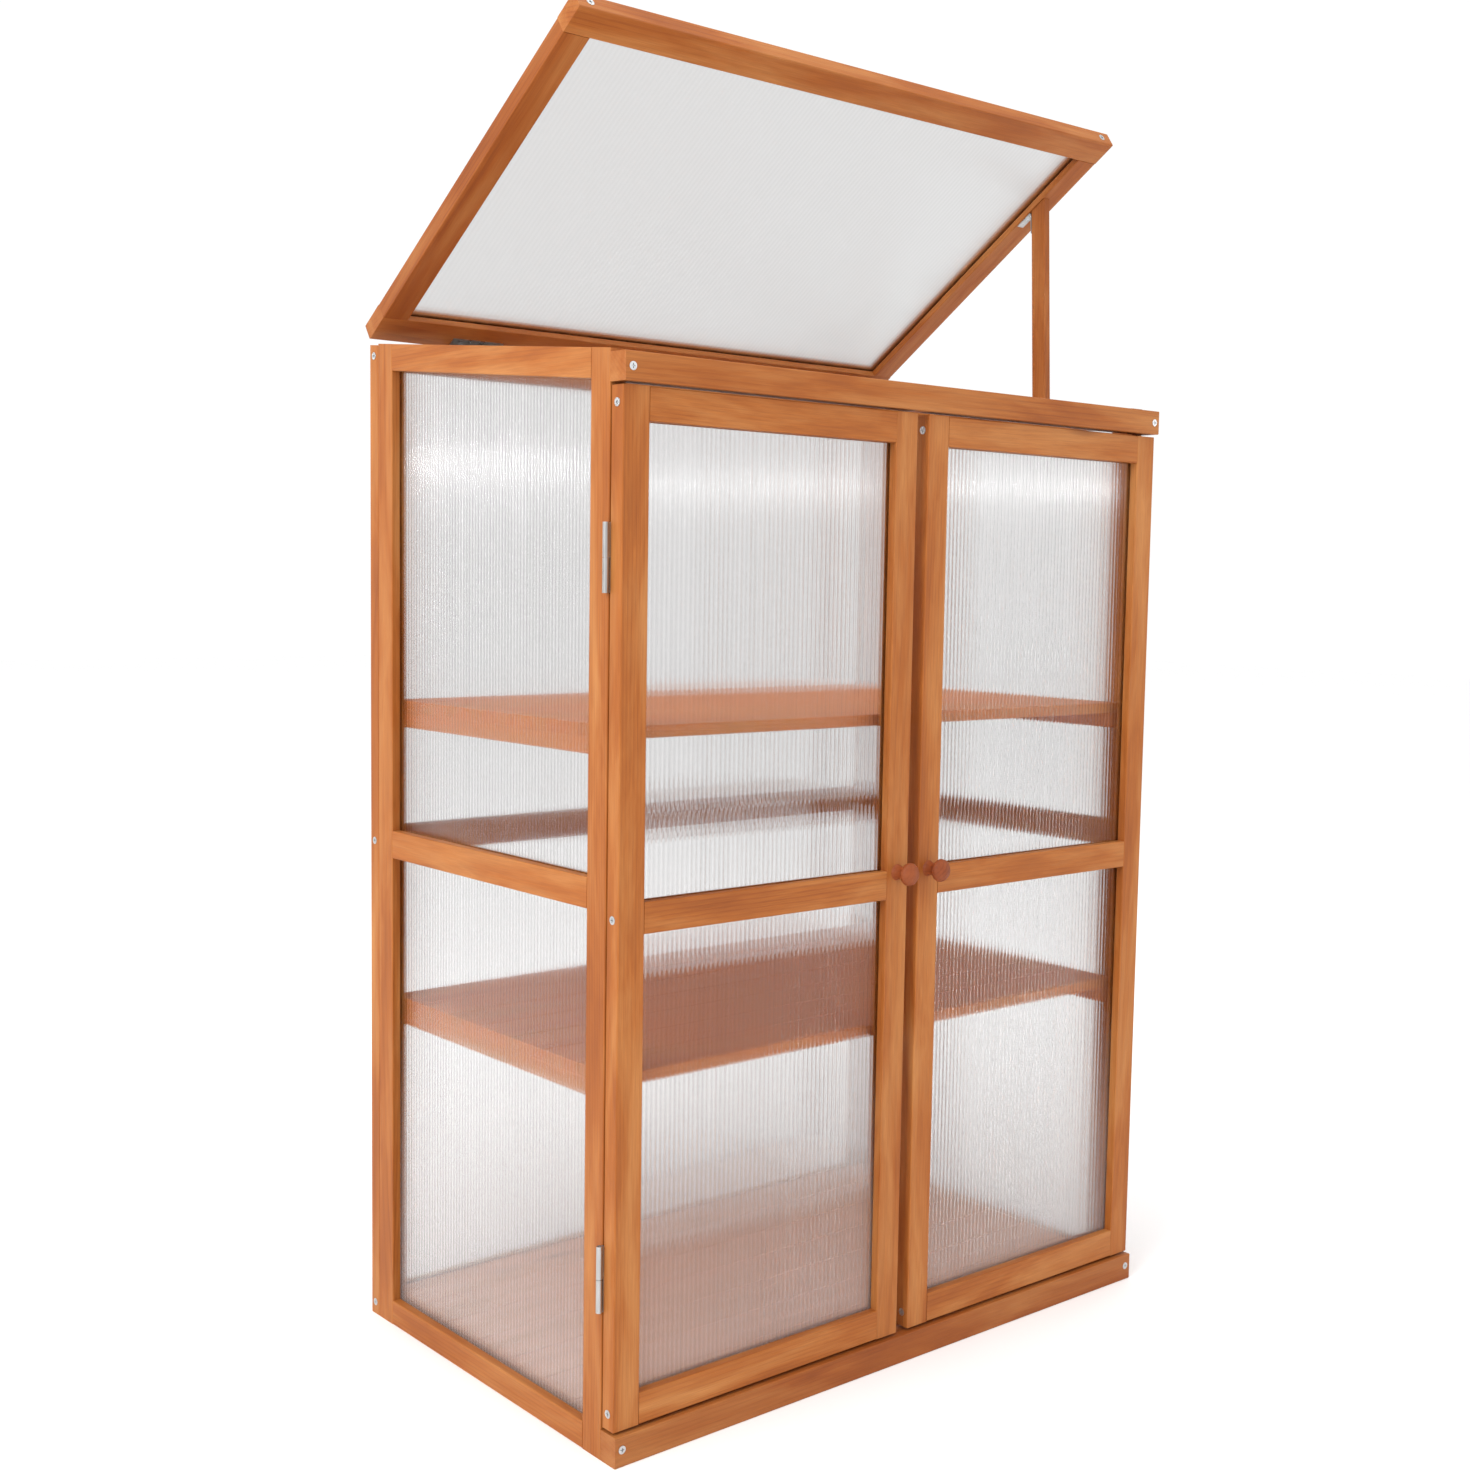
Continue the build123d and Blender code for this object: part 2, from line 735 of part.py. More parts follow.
def make_doors():
    """The left door and its mirror image."""
    wall = left_door_wall()
    screws = moved_screws(edge_screws(wall), door_stand)
    screws += door_hinge_screws(-1)
    knob_x = -door_meeting_gap / 2 - stile_w / 2
    back_face = (knob_x, door_face_y + stock_t, knob_z)
    screws.append(Screw(back_face, (0, -1, 0), length=knob_screw_l))
    holes = [screw.hole() for screw in screws]
    parts = {"screws": [screw.solid() for screw in screws]}

    pieces, panels = framed_wall(wall)
    seats = [leaf_pocket(seat, -1) for seat in door_hinge_seats()]
    for name, piece in pieces.items():
        parts[name] = [drilled(door_stand.location * piece, holes + seats)]
    parts["panels"] = [door_stand.location * panel for panel in panels]
    moving = [door_hinge(seat)[1] for seat in door_hinge_seats()]
    parts["hinge_leaves"] = [drilled(leaf, holes) for leaf in moving]
    knob_seat = Plane(origin=(knob_x, door_face_y, knob_z), z_dir=(0, -1, 0))
    parts["knob"] = [drilled(knob_seat.location * knob(), holes)]

    nodes = {}
    for name, solids in parts.items():
        nodes[f"left_door_{name}"] = solids
        nodes[f"right_door_{name}"] = [mirrored(solid) for solid in solids]
    return nodes


def lid_hinge_parts():
    """The lid hinge's fixed leaf, moving leaf and pin, with its pin along Z."""
    reach = hinge_leaf_w + lid_axis_out - barrel_r
    return butt_hinge(lid_hinge_h, lid_leaf_play, reach, hinge_leaf_t, barrel_r, pin_r)


def prop_hinge_parts():
    """The prop hinge's leaf on the lid, its leaf on the prop, and its pin."""
    play = prop_pin_off - prop_leaf_t
    return butt_hinge(prop_w, play, prop_leaf_w, prop_leaf_t, prop_barrel_r, prop_pin_r)


def prop_screws(side, plane):
    """The small screws of the prop hinge, through the lid's leaf (1) or the prop's (-1)."""
    y = side * (prop_pin_off - prop_leaf_t)
    screws = []
    for x in prop_screw_off:
        sizes = (prop_screw_r, prop_shank_r, prop_screw_l, 0)
        screws.append(Screw((x, y, 0), (0, side, 0), *sizes))
    return moved_screws(screws, plane)


def make_lid():
    """The lid, held open, with its hinge halves."""
    wall = lid_wall()
    screws = moved_screws(edge_screws(wall), lid_stand)
    left_hinge = lid_hinge_screws(-1, lid_axis)
    screws += left_hinge + prop_screws(1, prop_leaf_seat)
    twins = [mirrored(screw.hole()) for screw in left_hinge]
    holes = [screw.hole() for screw in screws] + twins
    solids = [screw.solid() for screw in screws]
    solids += [mirrored(screw.solid()) for screw in left_hinge]
    nodes = {"lid_screws": solids}

    pieces, panels = framed_wall(wall)
    for name, piece in pieces.items():
        nodes[f"lid_{name}"] = [drilled(lid_stand.location * piece, holes)]
    nodes["lid_panel"] = [lid_stand.location * panel for panel in panels]
    leaf = lid_axis.location * Pos(0, 0, -lid_hinge_x) * lid_hinge_parts()[1]
    nodes["lid_hinge_leaves"] = both_hands([drilled(leaf, holes)])
    fixed, _, pin = prop_hinge_parts()
    nodes["prop_hinge_lid_leaf"] = [drilled(prop_leaf_seat.location * fixed, holes)]
    nodes["prop_hinge_pin"] = [prop_leaf_seat.location * pin]
    return nodes


def prop_bar():
    """The prop's timber: its top cut to the lid's slope, its foot square."""
    rise = sin(radians(prop_angle))
    top_y = prop_top_gap - lid_gap / 2
    corners = []
    for off in (prop_pin_off, prop_pin_off + prop_d):
        edge = prop_pin + prop_out * off
        corners.append(edge - prop_down * ((edge.Y - top_y) / rise))
    corners.append(prop_pin + prop_out * (prop_pin_off + prop_d) + prop_down * prop_l)
    corners.append(prop_pin + prop_out * prop_pin_off + prop_down * prop_l)
    outline = make_face(Polyline(*[(c.X, c.Y, prop_x) for c in corners], close=True))
    bar = Pos(0, 0, -prop_w / 2) * extrude(outline, amount=prop_w, dir=(0, 0, 1))
    return lid_axis.location * eased(bar)


def make_prop():
    """The prop and its hinge leaf."""
    screws = prop_screws(-1, prop_seat)
    holes = [screw.hole() for screw in screws]
    leaf = prop_seat.location * prop_hinge_parts()[1]
    return {
        "prop_bar": [drilled(prop_bar(), holes)],
        "prop_hinge_leaf": [drilled(leaf, holes)] + [screw.solid() for screw in screws],
    }


os.makedirs("parts", exist_ok=True)
for assembly in (make_cabinet, make_doors, make_lid, make_prop):
    for node, solids in assembly().items():
        write(node, solids)
print("door axis", -door_axis_x, door_axis_y)
print("lid axis", lid_axis_y, lid_axis_z, "lid closes by", lid_open)
print("prop axis", tuple(prop_seat.origin), "folds by", prop_angle)
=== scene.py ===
# %% [markdown]
# # A standing cold frame
# A cold frame is a small glazed cabinet that keeps frost off young plants. This one is made of
# thin softwood frames, stained orange-brown, with twin-wall plastic sheet let into grooves.
# The timbers, decks, hinges and screws come from the CAD model, at their real size and place.
# Here they get their finish, and the glazing and the turned knobs are modelled again, because
# their shape is what catches the light.

# %% Load the frame
import json
import math
import random
import bpy
from mathutils import Euler, Matrix, Vector


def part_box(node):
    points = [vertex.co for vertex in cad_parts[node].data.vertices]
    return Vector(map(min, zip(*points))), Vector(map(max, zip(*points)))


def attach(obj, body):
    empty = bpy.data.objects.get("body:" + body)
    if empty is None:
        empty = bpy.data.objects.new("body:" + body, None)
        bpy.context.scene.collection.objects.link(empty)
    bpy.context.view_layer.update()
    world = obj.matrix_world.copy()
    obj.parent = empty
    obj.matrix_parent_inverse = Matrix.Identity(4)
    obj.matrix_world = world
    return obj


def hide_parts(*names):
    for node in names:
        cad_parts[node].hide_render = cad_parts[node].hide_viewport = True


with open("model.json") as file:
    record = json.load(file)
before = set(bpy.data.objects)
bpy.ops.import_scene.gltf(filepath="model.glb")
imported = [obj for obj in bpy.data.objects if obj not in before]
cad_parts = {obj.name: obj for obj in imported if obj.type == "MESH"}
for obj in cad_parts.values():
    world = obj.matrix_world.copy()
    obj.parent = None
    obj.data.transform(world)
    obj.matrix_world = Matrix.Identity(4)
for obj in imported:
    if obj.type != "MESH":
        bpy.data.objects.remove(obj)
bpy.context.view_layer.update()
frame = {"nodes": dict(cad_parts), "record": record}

# %% [markdown]
# ## The view
# The camera stands to the left of the cabinet and a little under the roof line, so it sees the
# left wall, both doors and the underside of the raised lid. It is close, so the near corner of
# the cabinet looms a little, and the far edges run together quickly.

# %% Camera
CAMERA_PLACE = (-1.3382, -1.5565, 0.8321)
CAMERA_TURN = (84.984, -0.964, -40.368)
CAMERA_LENS = 44.37
CAMERA_SHIFT = (-0.0201, 0.0020)

camera_data = bpy.data.cameras.new("view")
camera = bpy.data.objects.new("view", camera_data)
bpy.context.scene.collection.objects.link(camera)
camera.location = CAMERA_PLACE
camera.rotation_euler = Euler([math.radians(turn) for turn in CAMERA_TURN])
camera_data.lens = CAMERA_LENS
camera_data.shift_x, camera_data.shift_y = CAMERA_SHIFT
bpy.context.scene.camera = camera
print("camera at", tuple(camera.location), "lens", camera_data.lens)

# %% [markdown]
# ## Floor and light
# The floor is one pale sheet under an even white tent. A large lamp on the left makes the left
# faces paler than the front ones, and one above lights the roof line. Two long thin lamps low
# down draw a bright band across the upper glazing, because ribbed sheet spreads a reflection
# sideways but not up or down.

# %% Floor, sky and lamps
FLOOR_SIZE = 30
FLOOR_WHITE = (0.98, 0.98, 0.98, 1)
FLOOR_ROUGHNESS = 0.9
SKY_WHITE = (1.0, 1.0, 1.0, 1)
SKY_STRENGTH = 1.02
LAMPS = (  # name, place, target, width and height, power
    ("left_lamp", (-3.2, -0.9, 2.2), (0, 0, 0.6), (1.8, 1.8), 62),
    ("top_lamp", (-0.3, -0.2, 3.6), (0, 0, 0.5), (2.2, 2.2), 42),
    ("front_strip", (4.0, -4.2, 1.225), (0, -0.23, 0.93), (4.6, 0.06), 20),
    ("left_strip", (-4.0, 5.9, 1.35), (-0.38, 0, 0.94), (4.6, 0.05), 11),
)


def paint(name):
    """A new material, its node tree and its main shader."""
    material = bpy.data.materials.new(name)
    material.use_nodes = True
    return material, material.node_tree, material.node_tree.nodes["Principled BSDF"]


def lamp(name, place, target, size, power):
    """A soft lamp, so wide and so high, that looks at a point."""
    data = bpy.data.lights.new(name, "AREA")
    data.shape = "RECTANGLE"
    data.size, data.size_y = size
    data.energy = power
    holder = bpy.data.objects.new(name, data)
    holder.location = place
    holder.rotation_euler = (Vector(target) - Vector(place)).to_track_quat("-Z", "Y").to_euler()
    bpy.context.scene.collection.objects.link(holder)


bpy.ops.mesh.primitive_plane_add(size=FLOOR_SIZE, location=(0, 0, 0))
floor = bpy.context.object
floor.name = "floor"
floor_paint, _, floor_shader = paint("pale_floor")
floor_shader.inputs["Base Color"].default_value = FLOOR_WHITE
floor_shader.inputs["Roughness"].default_value = FLOOR_ROUGHNESS
floor.data.materials.append(floor_paint)

sky = bpy.data.worlds.new("tent")
sky.use_nodes = True
glow = sky.node_tree.nodes["Background"]
glow.inputs["Color"].default_value = SKY_WHITE
glow.inputs["Strength"].default_value = SKY_STRENGTH
bpy.context.scene.world = sky
for row in LAMPS:
    lamp(*row)
bpy.context.scene.view_settings.view_transform = "Standard"
print("lamps", [light.name for light in bpy.data.lights])

# %% [markdown]
# ## Stained timber
# Softwood shows its growth rings as long stripes on the faces and as arcs on the sawn ends.
# One pattern gives both, if it is a solid one: rings about a line that runs along the timber,
# a little outside it, as the heart of the tree would. Fine fibres, slow changes of stain and a
# few knots are laid over the rings. Each timber is cut from its own place in the tree, so no
# two look alike.

# %% Node helpers
MIX_COLOUR_SOCKETS = (0, 6, 7)  # factor, first colour and second colour of a Mix node
MIX_COLOUR_RESULT = 2


def node(tree, kind, label, **values):
    """A node with its label and its settings."""
    made = tree.nodes.new(kind)
    made.label = label
    for key, value in values.items():
        setattr(made, key, value)
    return made


def join(tree, start, end):
    """A wire from one socket to another."""
    tree.links.new(start, end)


def ramp(tree, label, stops):
    """A colour ramp with these (place, colour) stops."""
    made = node(tree, "ShaderNodeValToRGB", label)
    elements = made.color_ramp.elements
    while len(elements) < len(stops):
        elements.new(0.5)
    for element, (place, colour) in zip(elements, stops):
        element.position = place
        element.color = (*colour, 1)
    return made


def noise(tree, label, vector, stretch, detail=3.0, roughness=0.55, distortion=0.0):
    """Noise whose grain size is set for each direction of the timber."""
    scaled = node(tree, "ShaderNodeMapping", label + " stretch")
    scaled.inputs["Scale"].default_value = stretch
    join(tree, vector, scaled.inputs["Vector"])
    made = node(tree, "ShaderNodeTexNoise", label)
    made.inputs["Scale"].default_value = 1.0
    made.inputs["Detail"].default_value = detail
    made.inputs["Roughness"].default_value = roughness
    made.inputs["Distortion"].default_value = distortion
    join(tree, scaled.outputs["Vector"], made.inputs["Vector"])
    return made.outputs["Fac"]


def math_node(tree, operation, first, second=None, clamp=False):
    """A sum, product or other operation on sockets or numbers."""
    made = node(tree, "ShaderNodeMath", operation.lower(), operation=operation, use_clamp=clamp)
    for socket, value in zip(made.inputs, (first, second)):
        if value is None:
            continue
        if isinstance(value, (int, float)):
            socket.default_value = value
        else:
            join(tree, value, socket)
    return made.outputs[0]


def blend_colours(tree, mode, amount, first, second):
    """Two colours mixed, where each is a socket or a colour."""
    made = node(tree, "ShaderNodeMix", mode.lower(), data_type="RGBA", blend_type=mode)
    factor, colour_a, colour_b = (made.inputs[place] for place in MIX_COLOUR_SOCKETS)
    for socket, value in ((factor, amount), (colour_a, first), (colour_b, second)):
        if isinstance(value, (int, float)):
            socket.default_value = value
        elif isinstance(value, tuple):
            socket.default_value = (*value, 1)
        else:
            join(tree, value, socket)
    return made.outputs[MIX_COLOUR_RESULT]


def spread(tree, label, value, start, end):
    """A value carried from one range to another."""
    made = node(tree, "ShaderNodeMapRange", label)
    for name, number in zip(("From Min", "From Max", "To Min", "To Max"), (*start, *end)):
        made.inputs[name].default_value = number
    join(tree, value, made.inputs["Value"])
    return made.outputs["Result"]


def raise_grain(tree, shader, label, height, strength, depth):
    """Relief from a height pattern, with its depth in metres."""
    bump = node(tree, "ShaderNodeBump", label)
    bump.inputs["Strength"].default_value = strength
    bump.inputs["Distance"].default_value = depth
    join(tree, height, bump.inputs["Height"])
    join(tree, bump.outputs["Normal"], shader.inputs["Normal"])


# %% The stain
GRAIN_TURNS = {"x": (0, math.pi / 2, 0), "y": (math.pi / 2, 0, 0), "z": (0, 0, 0)}
LID_SLOPE = math.radians(33.6)
GRAIN_TURNS["lid"] = (math.pi / 2 + LID_SLOPE, 0, 0)
RING_SPACING = 0.0042
GRAIN_SWAY = 0.030
GRAIN_TILT = 1.2
HEART_RANGE = (0.05, 0.09)
KNOT_SPACING = (9, 9, 2.0)
WOOD_ROUGHNESS = (0.42, 0.66)
WOOD_SHINE = 0.25
EARLY = (0.385, 0.116, 0.019)
LATE = (0.225, 0.050, 0.0065)
KNOT = (0.10, 0.022, 0.005)
PALE = (0.52, 0.225, 0.068)


def deeper(colour, share):
    """The colour made darker by a share, taking more from the blue than from the red: painted
    shade, and a slightly thicker coat.
    """
    return tuple(part * share**power for part, power in zip(colour, (1.0, 1.5, 1.9)))


def stained(name, grain, seed, early=EARLY, late=LATE, pale=PALE, shade_and_coat=1.0):
    """Stained softwood with its grain along one direction, cut from its own place in a tree."""
    cut = random.Random(seed)
    # A share under 1 darkens all three colours: painted shade on parts that sit in shade.
    early, late, pale = (deeper(colour, shade_and_coat) for colour in (early, late, pale))
    material, tree, shader = paint(name)
    place = node(tree, "ShaderNodeTexCoord", "place on the timber")
    turned = node(tree, "ShaderNodeMapping", "grain direction", vector_type="POINT")
    turned.inputs["Rotation"].default_value = GRAIN_TURNS[grain]
    join(tree, place.outputs["Object"], turned.inputs["Vector"])
    sawn = node(tree, "ShaderNodeMapping", "place in the tree")
    heart = cut.uniform(*HEART_RANGE)
    around = cut.uniform(0, 2 * math.pi)
    tilt = math.radians(cut.uniform(-GRAIN_TILT, GRAIN_TILT))
    sawn.inputs["Location"].default_value = (
        heart * math.cos(around) + cut.uniform(-0.5, 0.5),
        heart * math.sin(around) + cut.uniform(-0.5, 0.5),
        cut.uniform(-3, 3),
    )
    sawn.inputs["Rotation"].default_value = (tilt, -tilt, 0)
    join(tree, turned.outputs["Vector"], sawn.inputs["Vector"])
    solid = sawn.outputs["Vector"]

    sway = noise(tree, "sway of the grain", solid, (9, 9, 1.1), detail=2)
    radius = node(tree, "ShaderNodeVectorMath", "distance from the heart", operation="MULTIPLY")
    radius.inputs[1].default_value = (1, 1, 0)
    join(tree, solid, radius.inputs[0])
    length = node(tree, "ShaderNodeVectorMath", "length", operation="LENGTH")
    join(tree, radius.outputs[0], length.inputs[0])
    bend = math_node(tree, "MULTIPLY", sway, GRAIN_SWAY)
    swayed = math_node(tree, "ADD", length.outputs["Value"], bend)
    rings = math_node(tree, "FRACT", math_node(tree, "DIVIDE", swayed, RING_SPACING))
    ring_stops = [(0.0, early), (0.55, early), (0.9, late), (1.0, early)]
    ringed = ramp(tree, "early to late wood", ring_stops)
    join(tree, rings, ringed.inputs["Fac"])

    tone = noise(tree, "slow changes of stain", solid, (16, 16, 2.2), detail=3)
    toned = ramp(tree, "how strong the rings are", [(0.34, (0.05,) * 3), (0.70, (0.62,) * 3)])
    join(tree, tone, toned.inputs["Fac"])
    base = blend_colours(tree, "MIX", toned.outputs["Color"], early, ringed.outputs["Color"])
    sun = noise(tree, "thin and thick stain", solid, (34, 34, 5.0), detail=4, distortion=0.4)
    thin = ramp(tree, "thin stain", [(0.44, (0.0,) * 3), (0.74, (0.85,) * 3)])
    join(tree, sun, thin.inputs["Fac"])
    base = blend_colours(tree, "MIX", thin.outputs["Color"], base, pale)
    thick = ramp(tree, "thick stain", [(0.22, (0.6,) * 3), (0.46, (0.0,) * 3)])
    join(tree, sun, thick.inputs["Fac"])
    base = blend_colours(tree, "MIX", thick.outputs["Color"], base, late)

    fibre = noise(tree, "fibres", solid, (1400, 1400, 22), detail=2, roughness=0.7)
    streak = ramp(tree, "fibre shade", [(0.3, (0.80, 0.76, 0.72)), (0.7, (1.12, 1.1, 1.08))])
    join(tree, fibre, streak.inputs["Fac"])
    base = blend_colours(tree, "MULTIPLY", 0.75, base, streak.outputs["Color"])

    cell = node(tree, "ShaderNodeMapping", "knot spacing")
    cell.inputs["Scale"].default_value = KNOT_SPACING
    join(tree, solid, cell.inputs["Vector"])
    spots = node(tree, "ShaderNodeTexVoronoi", "knots")
    spots.inputs["Scale"].default_value = 1.0
    join(tree, cell.outputs["Vector"], spots.inputs["Vector"])
    knot_stops = [(0.020, (0.9,) * 3), (0.045, (0.5,) * 3), (0.085, (0.0,) * 3)]
    knots = ramp(tree, "knot edge", knot_stops)
    join(tree, spots.outputs["Distance"], knots.inputs["Fac"])
    base = blend_colours(tree, "MIX", knots.outputs["Color"], base, KNOT)
    join(tree, base, shader.inputs["Base Color"])

    satin = spread(tree, "satin to dull", fibre, (0.0, 1.0), WOOD_ROUGHNESS)
    join(tree, satin, shader.inputs["Roughness"])
    relief = math_node(tree, "ADD", math_node(tree, "MULTIPLY", fibre, 0.6), rings)
    raise_grain(tree, shader, "raised grain", relief, 0.35, 0.0004)
    shader.inputs["Specular IOR Level"].default_value = WOOD_SHINE
    return material


def nodes_of(slot_name):
    """The CAD nodes that take one finish."""
    rows = frame["record"]["subparts"]
    return sorted(row["node"] for row in rows if row["material_slot"] == slot_name)


def finish_node(name, material):
    """Gives a CAD node its finish."""
    slots = frame["nodes"][name].data.materials
    slots.clear()
    slots.append(material)


def grain_of(name):
    """The way the grain runs, which is always the way the timber is long."""
    if name in ("lid_left_rail", "lid_right_rail"):
        return "lid"
    if name == "prop_bar":
        return "z"
    low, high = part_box(name)
    sizes = high - low
    return "xyz"[max(range(3), key=lambda axis: sizes[axis])]


SHADE_AND_COATS = {  # under 1 is darker: painted shade on the lid's rails, the prop and the front rails, which sit in shade; the door rails and side stile are only slightly darker
    "front_top_rail": 0.92, "front_bottom_rail": 0.82, "lid_left_rail": 0.80,
    "lid_back_rail": 0.84, "lid_right_rail": 0.90, "lid_front_rail": 0.94, "prop_bar": 0.92,
    "left_door_mid_rail": 0.98, "left_side_front_stile": 0.97, "left_door_meeting_stile": 0.95,
}
timber_nodes = nodes_of("timber")
for seed, name in enumerate(timber_nodes):
    # Painted shade for the parts that sit in shade, taken from the table above.
    shade_and_coat = SHADE_AND_COATS.get(name, 1.0)
    finish_node(name, stained("stain_" + name, grain_of(name), seed, shade_and_coat=shade_and_coat))
print("stained timbers", len(timber_nodes))

# %% [markdown]
# ## Decks
# The slats and their bearers are the same softwood with a thinner coat, a little pinker. The floor
# slats are paler still: painted reflection, standing in for the milky sheen of the white ground on
# the low glazing in front of them. A deck is one node of seven slats, so its grain runs from left
# to right through all of them.

# %% Deck timber
DECK_EARLY = (0.64, 0.215, 0.068)
DECK_LATE = (0.44, 0.120, 0.032)
FLOOR_EARLY_PAINTED_REFLECTION = (0.74, 0.370, 0.210)
FLOOR_LATE_PAINTED_REFLECTION = (0.56, 0.230, 0.110)
DECK_SEED = 100
deck_nodes = nodes_of("deck_timber")
for seed, name in enumerate(deck_nodes, DECK_SEED):
    grain = "y" if name.endswith("cleats") else "x"
    # The floor slats take paler tones: painted reflection of the white ground on the low glazing.
    tones = (FLOOR_EARLY_PAINTED_REFLECTION, FLOOR_LATE_PAINTED_REFLECTION) if name == "floor_slats" else (DECK_EARLY, DECK_LATE)
    finish_node(name, stained("stain_" + name, grain, seed, *tones))
print("deck nodes", deck_nodes)

# %% [markdown]
# ## Metal
# Screws are zinc plated: bright and faintly cloudy. The hinges are plain rolled steel, which is
# darker and brushed along the pin. The cloudiness is in the roughness, because that is where
# plated metal differs from chrome.

# %% Zinc and steel
def metal(name, dark, bright, roughness, patch):
    """Metal with cloudy patches, so many to a metre, and fine scratches along the upright."""
    material, tree, shader = paint(name)
    place = node(tree, "ShaderNodeTexCoord", "place on the metal")
    cloud = noise(tree, "clouds", place.outputs["Object"], (patch, patch, patch / 4), detail=2)
    scratch = noise(tree, "scratches", place.outputs["Object"], (2600, 2600, 180), detail=2)
    tint = ramp(tree, "tint", [(0.3, dark), (0.7, bright)])
    join(tree, cloud, tint.inputs["Fac"])
    join(tree, tint.outputs["Color"], shader.inputs["Base Color"])
    shine = spread(tree, "cloudy shine", cloud, (0.0, 1.0), (roughness, roughness + 0.14))
    join(tree, shine, shader.inputs["Roughness"])
    raise_grain(tree, shader, "scratch depth", scratch, 0.1, 0.00003)
    shader.inputs["Metallic"].default_value = 0.9
    return material


zinc = metal("zinc_plate", (0.46, 0.47, 0.48), (0.62, 0.63, 0.64), 0.24, 200)
steel = metal("rolled_steel", (0.36, 0.35, 0.34), (0.50, 0.49, 0.48), 0.22, 120)
zinc_nodes = nodes_of("zinc")
for name in zinc_nodes:
    finish_node(name, zinc if name.endswith("screws") else steel)
print("zinc nodes", [name for name in zinc_nodes if name.endswith("screws")])
print("steel nodes", [name for name in zinc_nodes if not name.endswith("screws")])

# %% [markdown]
# ## Twin-wall glazing
# The glazing is extruded plastic: two skins with a rib every few millimetres between them. The
# skins sink a little over each rib, and those fine upright lines are what the eye sees. A
# sheet starts as a flat grid with two columns to a flute. Every second line is pushed down for
# the sink over a rib, the edge is cut to the roof's slope where it has to be, and a Solidify
# modifier gives the sheet its thickness, so both faces carry the lines. The lid's sheet has
# nearly flat skins and is a little frosted, so it reads as one smooth pane.

# %% Clear ribbed plastic
FLUTE = 0.0056
ACROSS = {"x": "X", "y": "Y", "lid": "X"}  # the direction that crosses the flutes
LINE_STRETCH = {"x": (230, 1, 0.8), "y": (1, 230, 0.8), "lid": (230, 0.6, 0.6)}
SHEET_IOR = 1.16  # low, since a hollow sheet bends light less than a solid one
SHEET_COVER = 0.55  # the rest of the light goes straight through
SHEET_COAT_ROUGHNESS = 0.11


def twin_wall(name, across, milk, frost, ripple, gloss):
    """Plastic that is greyer over each rib, with fine uneven lines along the flutes."""
    material, tree, shader = paint(name)
    place = node(tree, "ShaderNodeTexCoord", "place on the sheet")
    split = node(tree, "ShaderNodeSeparateXYZ", "across the flutes")
    join(tree, place.outputs["Object"], split.inputs["Vector"])
    turns = math_node(tree, "MULTIPLY", split.outputs[ACROSS[across]], 2 * math.pi / FLUTE)
    rib = math_node(tree, "MULTIPLY", math_node(tree, "COSINE", turns), 0.5)
    rib = math_node(tree, "ADD", rib, 0.5)
    spot = place.outputs["Object"]
    uneven = noise(tree, "uneven lines", spot, LINE_STRETCH[across], detail=3, roughness=0.7)
    uneven = math_node(tree, "MULTIPLY", uneven, 0.4)
    line = math_node(tree, "ADD", math_node(tree, "MULTIPLY", rib, 0.8), uneven)
    tint = ramp(tree, "rib tint", [(0.15, milk[1]), (1.0, milk[0])])
    join(tree, line, tint.inputs["Fac"])
    join(tree, tint.outputs["Color"], shader.inputs["Base Color"])
    frosting = spread(tree, "frosting", line, (0.15, 1.0), (frost, 0.08 + frost))
    join(tree, frosting, shader.inputs["Roughness"])
    raise_grain(tree, shader, "flute ripple", line, ripple, 0.0006)
    # Painted reflection: low down the sheet lets less light through, so its milky colour shows more
    # there, standing in for the reflection of the white floor.
    painted_reflection = spread(tree, "haze near the ground", split.outputs["Z"], (0.04, 0.34), (0.72, 1.0))
    join(tree, painted_reflection, shader.inputs["Transmission Weight"])
    shader.inputs["IOR"].default_value = SHEET_IOR
    shader.inputs["Alpha"].default_value = SHEET_COVER
    shader.inputs["Coat Weight"].default_value = gloss
    shader.inputs["Coat Roughness"].default_value = SHEET_COAT_ROUGHNESS
    return material


WALL_MILK = ((0.50, 0.491, 0.491), (0.96, 0.952, 0.952))
LID_MILK = ((0.52, 0.514, 0.511), (0.58, 0.573, 0.570))
glazing_paint = {
    "x": twin_wall("twin_wall_across_x", "x", WALL_MILK, 0.03, 0.7, 0.45),
    "y": twin_wall("twin_wall_across_y", "y", WALL_MILK, 0.10, 0.3, 0.3),
    "lid": twin_wall("twin_wall_lid", "lid", LID_MILK, 0.30, 0.03, 0.05),
}
print("glazing finishes", sorted(glazing_paint))

# %% Sheet helpers
SINK = 0.00028
PANEL_BITE = 0.007


def only(piece):
    """Selects one object and nothing else."""
    bpy.ops.object.select_all(action="DESELECT")
    piece.select_set(True)
    bpy.context.view_layer.objects.active = piece


def settle(piece):
    """Writes the object's place, turn and size into its mesh."""
    only(piece)
    bpy.ops.object.transform_apply(location=True, rotation=True, scale=True)


